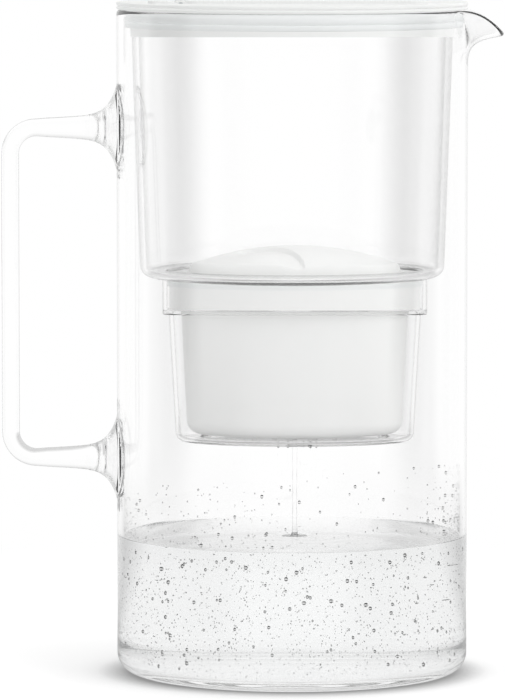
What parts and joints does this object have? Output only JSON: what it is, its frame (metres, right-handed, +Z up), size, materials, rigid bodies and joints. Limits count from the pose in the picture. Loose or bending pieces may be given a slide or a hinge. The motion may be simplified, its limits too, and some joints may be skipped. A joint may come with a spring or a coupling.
{
  "type": "water filter pitcher with flip lid",
  "caption": "Tall glass pitcher with a side handle and pulled spout; a clear hopper with an oval filter cartridge hangs from its rim under a flip lid.",
  "frame": {"origin": "centre of the jug's base, on the surface it stands on", "axes": "+Z up along the jug's axis, +X towards the spout, the handle at -X, +Y to the left of a person who pours"},
  "size_m": [0.2004, 0.14, 0.2697],
  "materials": {
    "jug_body": "clear, polished",
    "jug_handle": "clear, polished",
    "collar_ring": "translucent, milky",
    "mouth_seal": "translucent silicone",
    "hopper": "clear, moulded",
    "filter_basket": "clear, moulded",
    "lid_plate": "translucent, milky",
    "hinge_pin": "drawn wire",
    "flip_flap": "translucent, milky",
    "cartridge_cup": "white, satin",
    "cartridge_cap": "white, satin",
    "cartridge_gasket": "soft silicone",
    "inlet_mesh": "woven mesh",
    "carbon_bed": "black granules",
    "bed_separator": "white fleece",
    "resin_bed": "amber beads",
    "outlet_mesh": "woven mesh"
  },
  "bodies": {
    "jug": {"jug_body": "jug_body", "jug_handle": "jug_handle"},
    "funnel": {"collar_ring": "collar_ring", "mouth_seal": "mouth_seal", "hopper": "hopper", "filter_basket": "filter_basket"},
    "lid": {"lid_plate": "lid_plate", "hinge_pin": "hinge_pin"},
    "flap": {"flip_flap": "flip_flap"},
    "cartridge": {"cartridge_cup": "cartridge_cup", "cartridge_cap": "cartridge_cap", "cartridge_gasket": "cartridge_gasket", "inlet_mesh": "inlet_mesh", "carbon_bed": "carbon_bed", "bed_separator": "bed_separator", "resin_bed": "resin_bed", "outlet_mesh": "outlet_mesh"}
  },
  "joints": [
    {"name": "funnel_lift", "type": "slide", "parent": "jug", "child": "funnel", "axis": [0, 0, 1], "range_m": [0, 0.18]},
    {"name": "lid_lift", "type": "slide", "parent": "funnel", "child": "lid", "axis": [0, 0, 1], "range_m": [0, 0.05]},
    {"name": "flap_hinge", "type": "hinge", "parent": "lid", "child": "flap", "pos_m": [-0.044, 0, 0.2676], "axis": [0, -1, 0], "range_deg": [0, 100]},
    {"name": "cartridge_lift", "type": "slide", "parent": "funnel", "child": "cartridge", "axis": [0, 0, 1], "range_m": [0, 0.08]}
  ]
}
